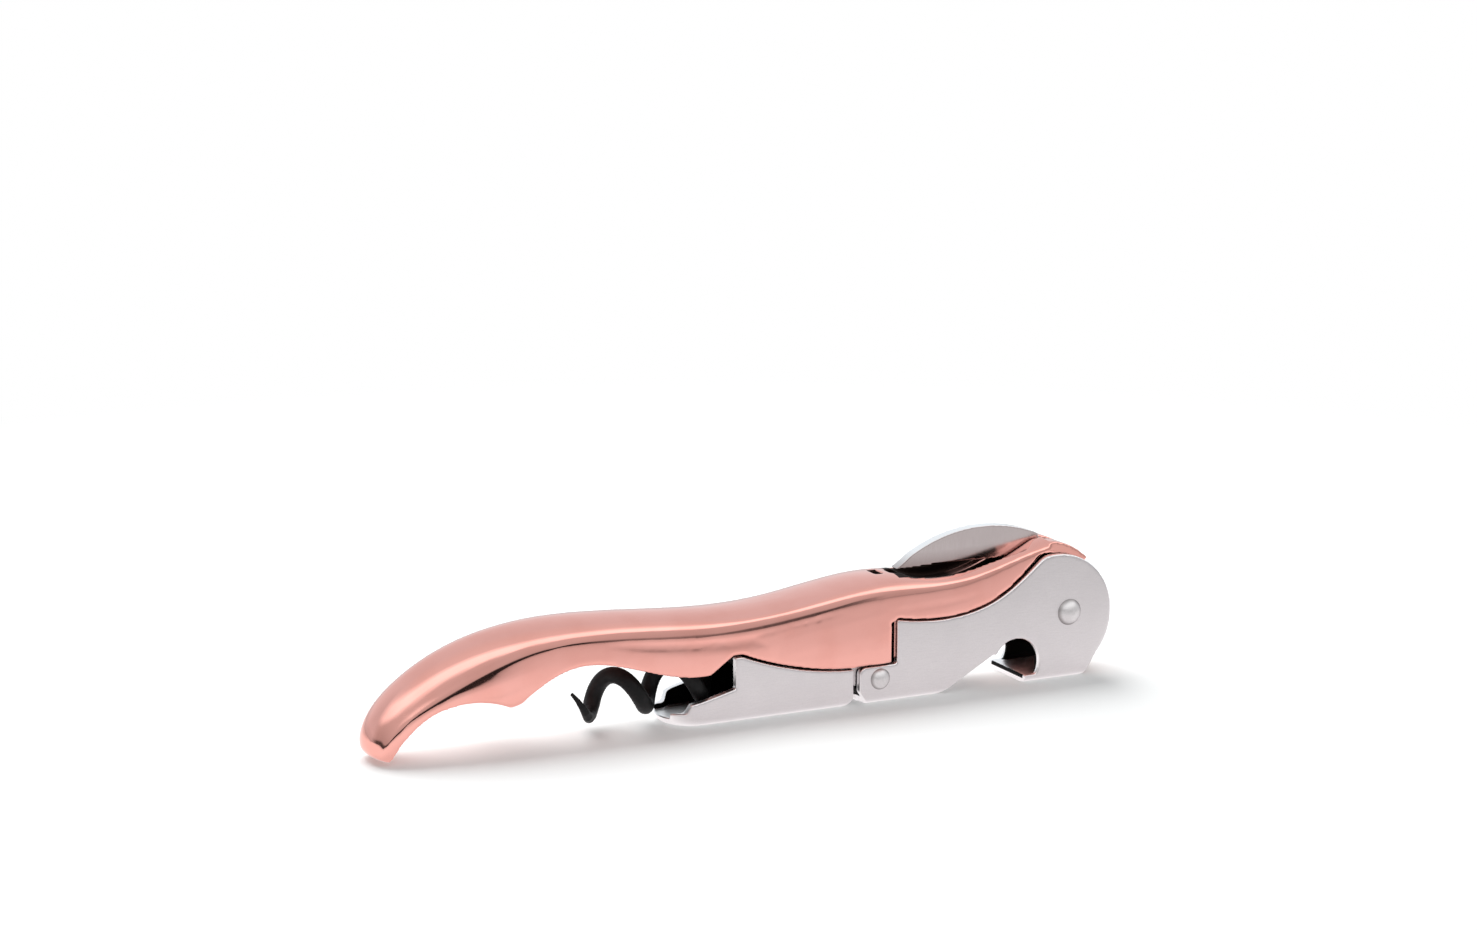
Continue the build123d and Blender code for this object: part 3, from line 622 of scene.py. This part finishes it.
scratch_inputs = {"Stretch": "NodeSocketVector", "Turn": "NodeSocketVector"}
scratches, start, mask = new_effect("scratches", scratch_inputs)
turned = add_node(scratches, "Mapping", {"Vector": start["Vector"], "Rotation": start["Turn"]})
drawn = add_node(scratches, "Mapping", {"Vector": turned.outputs[0], "Scale": start["Stretch"]})
lines = add_node(scratches, "TexNoise", {"Vector": drawn.outputs[0], "Scale": 1.0, "Detail": 2.0})
scratches.links.new(ramp(scratches, lines.outputs["Fac"], SCRATCH_ENDS), mask)

inner_faces, start, mask = new_effect("inner_faces", {"Normal": "NodeSocketVector"})
side = add_node(inner_faces, "SeparateXYZ", {0: start["Vector"]}).outputs["Y"]
facing = add_node(inner_faces, "SeparateXYZ", {0: start["Normal"]}).outputs["Y"]
sign = add_node(inner_faces, "Math", {0: side}, operation="SIGN").outputs[0]
outward = work_out(inner_faces, "MULTIPLY", sign, facing)
inward = work_out(inner_faces, "MULTIPLY", outward, -1.0)
inner_faces.links.new(ramp(inner_faces, inward, INWARD_ENDS), mask)

# Faces that don't look sideways, the edges of upright sheet, get a painted highlight
painted_edge_highlight, start, mask = new_effect("painted_edge_highlight", {})
facing = add_node(painted_edge_highlight, "SeparateXYZ", {0: start["Vector"]}).outputs["Y"]
painted_edge_highlight.links.new(ramp(painted_edge_highlight, magnitude(painted_edge_highlight, facing), EDGE_HIGHLIGHT_ENDS), mask)
print("effects:", [group.name for group in bpy.data.node_groups])

# %% [markdown]
# Each finish starts the same way: a material with its shader, and the coordinates that its patterns read.
# Those could be the picture coordinates of an unwrapped mesh, but then a seam would break the grain.
# Object coordinates have no seams, and are in metres.

# %% Start of a finish
def start_finish(name):
    """A new material with its node tree, its shader's inputs and the coordinates that its patterns read."""
    paint = bpy.data.materials.new(name)
    paint.use_nodes = True
    tree = paint.node_tree
    return paint, tree, tree.nodes["Principled BSDF"].inputs, add_node(tree, "TexCoord").outputs


def use_effect(tree, group, inputs):
    """The output of a shared effect, placed in a material with its own values."""
    return add_node(tree, "Group", inputs, node_tree=group).outputs[0]


copper_plate, tree, shader, coordinates = start_finish("copper_plate_finish")
print("started:", copper_plate.name)

# %% [markdown]
# Some hollows of the handle lie in deep shade on the real tool: the inside of the lug, the trough under the
# blade, the nick ahead of the blade's tip and the gap at the step. The light could be left to find them, but
# the bright room of the world shines into every gap. So their shade is painted: they are masked by their
# place, and the inside of the lug also by the way its faces turn, and painted near black.

# %% Painted shade in the hollows of the handle
LUG_INSIDE_TOP = 13 * MM
BLADE_REACH = (21.5 * MM, 46 * MM)
NICK_REACH = (21.9 * MM, 23.4 * MM)
NICK_HALF = 1.5 * MM
TROUGH_REACH = (25 * MM, 46 * MM)
TROUGH_FADE = (43 * MM, 37 * MM)
TROUGH_HALF = 3.7 * MM
STEP_REACH = (STEP_GAP[0] - 0.2 * MM, STEP_GAP[1])
STEP_HALF = 4.7 * MM
place = coordinates["Object"]
along, across, height = add_node(tree, "SeparateXYZ", {0: place}).outputs
inward = use_effect(tree, inner_faces, {"Vector": place, "Normal": coordinates["Normal"]})
in_lug = work_out(tree, "LESS_THAN", height, LUG_INSIDE_TOP)
inside = both(tree, inward, either(tree, in_lug, between(tree, along, *BLADE_REACH)))
nick = both(tree, between(tree, along, *NICK_REACH), between(tree, across, -NICK_HALF, NICK_HALF))
trough = both(tree, between(tree, along, *TROUGH_REACH), between(tree, across, -TROUGH_HALF, TROUGH_HALF))
trough = both(tree, trough, span(tree, along, *TROUGH_FADE))
step = both(tree, between(tree, along, *STEP_REACH), between(tree, across, -STEP_HALF, STEP_HALF))
step = both(tree, step, work_out(tree, "LESS_THAN", height, STEP_RISE[1]))
painted_shade = either(tree, either(tree, inside, nick), either(tree, trough, step))
print("hollows of the handle: lug, blade, nick, trough, step")

# %% [markdown]
# The handle is cast, polished and plated with copper. One even metal would do from far off. Close to, the
# plate is a mirror with a slight orange-peel wave under it, and hands leave faint smudges and hair scratches,
# so these go into its colour, its gloss and its bump.

# %% Copper plate
COPPER = (0.86, 0.43, 0.372, 1)
HANDLED_COPPER = (0.81, 0.375, 0.315, 1)
# Near black copper: painted shade for the hollows masked above
PAINTED_SHADE_COPPER = (0.02, 0.012, 0.01, 1)
COPPER_SMUDGING = (0.0, 0.5)
PLATE_ROUGHNESS = (0.045, 0.085)
HAIR_ROUGHNESS = (0.0, 0.06)
HOLLOW_ROUGHNESS = (0.0, 0.5)
# Noise is stretched by how often it changes in a metre, along X, Y and Z
HAIR_STRETCH = (180, 9000, 9000)
HAIR_TURN = (0.0, 0.15, 0.2)
handled = use_effect(tree, smudges, {"Vector": place, "Scale": 160.0})
hairs = use_effect(tree, scratches, {"Vector": place, "Stretch": HAIR_STRETCH, "Turn": HAIR_TURN})
plate = mix_colours(tree, spread(tree, handled, *COPPER_SMUDGING), COPPER, HANDLED_COPPER)
shader["Metallic"].default_value = 1.0
# The hollows of the handle are painted near black, as painted shade
tree.links.new(mix_colours(tree, painted_shade, plate, PAINTED_SHADE_COPPER), shader["Base Color"])
haze = work_out(tree, "ADD", spread(tree, handled, *PLATE_ROUGHNESS), spread(tree, hairs, *HAIR_ROUGHNESS))
tree.links.new(work_out(tree, "ADD", haze, spread(tree, painted_shade, *HOLLOW_ROUGHNESS)), shader["Roughness"])
peel = add_node(tree, "TexNoise", {"Vector": place, "Scale": 420.0, "Detail": 1.0})
wave = add_node(tree, "Bump", {"Height": peel.outputs["Fac"], "Strength": 0.03, "Distance": 0.2 * MM})
scoring = {"Height": hairs, "Strength": 0.06, "Distance": 0.01 * MM, "Normal": wave.outputs[0]}
tree.links.new(add_node(tree, "Bump", scoring, invert=True).outputs[0], shader["Normal"])
print("finish made:", copper_plate.name)

# %% [markdown]
# The lever is satin stainless sheet: pressed, tumbled and lightly brushed along its length, with a highlight
# painted on its edges. Brushing could be cut into the mesh, but its lines are finer than any face, so it is
# noise stretched along X. Inside the channel, the toe of the foot and the notch of the cap lifter the sheet
# lies in deep shade, so these are masked as the hollows of the handle are, and painted near black as painted
# shade.

# %% Satin steel
DARK_SATIN = (0.595, 0.565, 0.575, 1)
LIGHT_SATIN = (0.80, 0.77, 0.78, 1)
HANDLED_SATIN = (0.61, 0.585, 0.595, 1)
# Near white steel: a painted highlight on the edges
SATIN_EDGE_HIGHLIGHT = (0.96, 0.94, 0.945, 1)
# Near black steel: painted shade inside the channel, the toe and the notch
PAINTED_SHADE_SATIN = (0.006, 0.006, 0.006, 1)
SATIN_SMUDGING = (0.0, 0.25)
SATIN_ROUGHNESS = (0.26, 0.44)
INSIDE_ROUGHNESS = (0.0, 0.3)
BRUSHING = (700, 9000, 9000)
SATIN_SPECKLE = (5200, 5200, 5200)
TOE_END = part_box("lever_foot")[0][0] + 6 * MM
TOE_FACING = 0.3
NOTCH_REACH = (43 * MM, 52 * MM)
NOTCH_HALF = 4.9 * MM
NOTCH_RIM = 0.7 * MM
NOTCH_FACING = -0.25
satin_steel, tree, shader, coordinates = start_finish("satin_steel_finish")
place = coordinates["Object"]
along, across, height = add_node(tree, "SeparateXYZ", {0: place}).outputs
facing = add_node(tree, "SeparateXYZ", {0: coordinates["Normal"]}).outputs["X"]
inward = use_effect(tree, inner_faces, {"Vector": place, "Normal": coordinates["Normal"]})
at_toe = work_out(tree, "LESS_THAN", along, TOE_END)
toe = both(tree, at_toe, work_out(tree, "GREATER_THAN", facing, TOE_FACING))
notch = both(tree, between(tree, along, *NOTCH_REACH), between(tree, across, -NOTCH_HALF, NOTCH_HALF))
notch = both(tree, notch, work_out(tree, "LESS_THAN", facing, NOTCH_FACING))
notch = both(tree, notch, work_out(tree, "GREATER_THAN", height, NOTCH_RIM))
# Painted shade: faces that look inwards, the inside of the toe and the notch
painted_shade = either(tree, inward, either(tree, toe, notch))
brushed = use_effect(tree, grain, {"Vector": place, "Stretch": BRUSHING})
speckle = use_effect(tree, grain, {"Vector": place, "Stretch": SATIN_SPECKLE})
texture = work_out(tree, "MULTIPLY", work_out(tree, "ADD", brushed, speckle), 0.5)
handled = use_effect(tree, smudges, {"Vector": place, "Scale": 140.0})
highlit_edges = use_effect(tree, painted_edge_highlight, {"Vector": coordinates["Normal"]})
satin_and_painted_light = mix_colours(tree, texture, DARK_SATIN, LIGHT_SATIN)
satin_and_painted_light = mix_colours(tree, spread(tree, handled, *SATIN_SMUDGING), satin_and_painted_light, HANDLED_SATIN)
# The edges get a painted highlight
satin_and_painted_light = mix_colours(tree, highlit_edges, satin_and_painted_light, SATIN_EDGE_HIGHLIGHT)
shader["Metallic"].default_value = 1.0
tree.links.new(mix_colours(tree, painted_shade, satin_and_painted_light, PAINTED_SHADE_SATIN), shader["Base Color"])
haze = work_out(tree, "ADD", spread(tree, texture, *SATIN_ROUGHNESS), spread(tree, painted_shade, *INSIDE_ROUGHNESS))
tree.links.new(haze, shader["Roughness"])
brush = add_node(tree, "Bump", {"Height": texture, "Strength": 0.10, "Distance": 0.02 * MM})
tree.links.new(brush.outputs[0], shader["Normal"])
print("finish made:", satin_steel.name)

# %% [markdown]
# The rivets are turned from bar, so their heads carry fine rings about the rivet's own axis, and their rims
# are painted darker, as painted shade where a head meets the sheet. The rings could be one shared pattern,
# but they have to run about each rivet's own middle, so each gets a finish of its own from one recipe. The
# two pins inside the lug get it too.

# %% Rivet steel
RING_PITCH = 0.12 * MM
RIM_START = 0.72
DARK_TURNED = (0.62, 0.60, 0.605, 1)
LIGHT_TURNED = (0.80, 0.78, 0.785, 1)
# Darker rim: painted shade where the head meets the sheet
PAINTED_SHADE_RIM = (0.36, 0.34, 0.34, 1)
TURNED_ROUGHNESS = (0.40, 0.54)
TURNED_SPECKLE = (4000, 4000, 4000)


def rivet_finish(name, node):
    """Turned steel, ringed about the middle of one node."""
    low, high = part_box(node)
    centre = (Vector(low) + Vector(high)) / 2
    rivet_radius = (high[0] - low[0]) / 2
    paint, tree, shader, coordinates = start_finish(name)
    place = coordinates["Object"]
    flat = add_node(tree, "Mapping", {"Vector": place, "Location": -centre})
    flat = add_node(tree, "Mapping", {"Vector": flat.outputs[0], "Scale": (1, 0, 1)})
    radius = add_node(tree, "VectorMath", {0: flat.outputs[0]}, operation="LENGTH").outputs["Value"]
    turns = work_out(tree, "MULTIPLY", radius, tau / RING_PITCH)
    rings = add_node(tree, "Math", {0: turns}, operation="SINE").outputs[0]
    speckle = use_effect(tree, grain, {"Vector": place, "Stretch": TURNED_SPECKLE})
    rim_shade = span(tree, radius, RIM_START * rivet_radius, rivet_radius, interpolation="SMOOTHSTEP")
    turned = mix_colours(tree, speckle, DARK_TURNED, LIGHT_TURNED)
    # The rim is painted darker, as painted shade
    tree.links.new(mix_colours(tree, rim_shade, turned, PAINTED_SHADE_RIM), shader["Base Color"])
    shader["Metallic"].default_value = 1.0
    tree.links.new(spread(tree, speckle, *TURNED_ROUGHNESS), shader["Roughness"])
    lathe = add_node(tree, "Bump", {"Height": rings, "Strength": 0.06, "Distance": 0.01 * MM})
    tree.links.new(lathe.outputs[0], shader["Normal"])
    print("finish made:", name)
    return paint


lever_rivet_steel = rivet_finish("lever_rivet_steel", "lever_rivet")
foot_rivet_steel = rivet_finish("foot_rivet_steel", "foot_rivet")
worm_pin_steel = rivet_finish("worm_pin_steel", "worm_pin")
blade_pin_steel = rivet_finish("blade_pin_steel", "blade_pin")

# %% [markdown]
# The blade is polished and then ground: fine lines run down from its back to its edge. They could be scored
# into the mesh, but they are far finer than its faces, so they are noise that is squeezed along X and drawn
# out along Z. Its grey is tinted pink, as a painted reflection of the copper. Towards the edge it is painted
# darker, as painted shade from its slot, and the rims of the sheet get a painted highlight.

# %% Blade steel
# Polished steel greys, tinted pink as a painted reflection of the copper
DARK_POLISH_AND_COPPER_REFLECTION = (0.52, 0.455, 0.45, 1)
LIGHT_POLISH_AND_COPPER_REFLECTION = (0.65, 0.59, 0.585, 1)
# Near white steel: a painted highlight on the rims
BLADE_RIM_HIGHLIGHT = (0.97, 0.95, 0.95, 1)
# Dark steel towards the edge: painted shade from the slot
PAINTED_SHADE_EDGE = (0.30, 0.22, 0.21, 1)
EDGE_TO_BACK = (19 * MM, 22.5 * MM)
GROUND_ROUGHNESS = (0.12, 0.22)
SMUDGE_ROUGHNESS = (0.0, 0.06)
GRINDING = (9000, 9000, 500)
blade_steel, tree, shader, coordinates = start_finish("blade_steel_finish")
place = coordinates["Object"]
ground = use_effect(tree, grain, {"Vector": place, "Stretch": GRINDING})
handled = use_effect(tree, smudges, {"Vector": place, "Scale": 220.0})
highlit_edges = use_effect(tree, painted_edge_highlight, {"Vector": coordinates["Normal"]})
height = add_node(tree, "SeparateXYZ", {0: place}).outputs["Z"]
polish_and_painted_light = mix_colours(tree, ground, DARK_POLISH_AND_COPPER_REFLECTION, LIGHT_POLISH_AND_COPPER_REFLECTION)
# The rims get a painted highlight
polish_and_painted_light = mix_colours(tree, highlit_edges, polish_and_painted_light, BLADE_RIM_HIGHLIGHT)
# Darker towards the edge, as painted shade from the slot
polish_and_painted_light = mix_colours(tree, span(tree, height, *EDGE_TO_BACK), PAINTED_SHADE_EDGE, polish_and_painted_light)
tree.links.new(polish_and_painted_light, shader["Base Color"])
shader["Metallic"].default_value = 1.0
smudged = spread(tree, handled, *SMUDGE_ROUGHNESS)
haze = work_out(tree, "ADD", spread(tree, ground, *GROUND_ROUGHNESS), smudged)
tree.links.new(haze, shader["Roughness"])
lines = add_node(tree, "Bump", {"Height": ground, "Strength": 0.08, "Distance": 0.01 * MM})
tree.links.new(lines.outputs[0], shader["Normal"])
print("finish made:", blade_steel.name)

# %% [markdown]
# The worm wears a black non-stick coat, nearly without gloss. Plain black would hide its turns, so the coat
# has a fine pebble, and is rubbed a little greyer in places. Both are noise, which needs no unwrapping of
# the winding mesh.

# %% Black coat
COAT_BLACK = (0.006, 0.006, 0.0065, 1)
RUBBED_BLACK = (0.016, 0.016, 0.017, 1)
COAT_ROUGHNESS = (0.48, 0.68)
PEBBLE = (6000, 6000, 6000)
black_coat, tree, shader, coordinates = start_finish("black_coat_finish")
place = coordinates["Object"]
pebble = use_effect(tree, grain, {"Vector": place, "Stretch": PEBBLE})
rubbed = use_effect(tree, smudges, {"Vector": place, "Scale": 320.0})
tree.links.new(mix_colours(tree, rubbed, COAT_BLACK, RUBBED_BLACK), shader["Base Color"])
tree.links.new(spread(tree, pebble, *COAT_ROUGHNESS), shader["Roughness"])
shader["Specular IOR Level"].default_value = 0.20
coat = add_node(tree, "Bump", {"Height": pebble, "Strength": 0.15, "Distance": 0.03 * MM})
tree.links.new(coat.outputs[0], shader["Normal"])
print("finish made:", black_coat.name)

# %% [markdown]
# On the real tool each piece has one finish all over. Each could be put on where it is made, but in one list
# at the end a reader sees at a glance which piece wears which. A piece that comes with slots of its own keeps
# them, and one without gets its first.

# %% Finishes in place
FINISHES = [
    (nodes["lever_rivet"], lever_rivet_steel),
    (nodes["foot_rivet"], foot_rivet_steel),
    (nodes["worm_pin"], worm_pin_steel),
    (nodes["blade_pin"], blade_pin_steel),
    (nodes["worm"], black_coat),
    (handle_skin, copper_plate),
    (frame_tumbled, satin_steel),
    (foot_tumbled, satin_steel),
    (blade_tumbled, blade_steel),
]
for piece, paint in FINISHES:
    if not piece.material_slots:
        piece.data.materials.append(paint)
    for slot in piece.material_slots:
        slot.material = paint
    print("finish:", piece.name, paint.name)
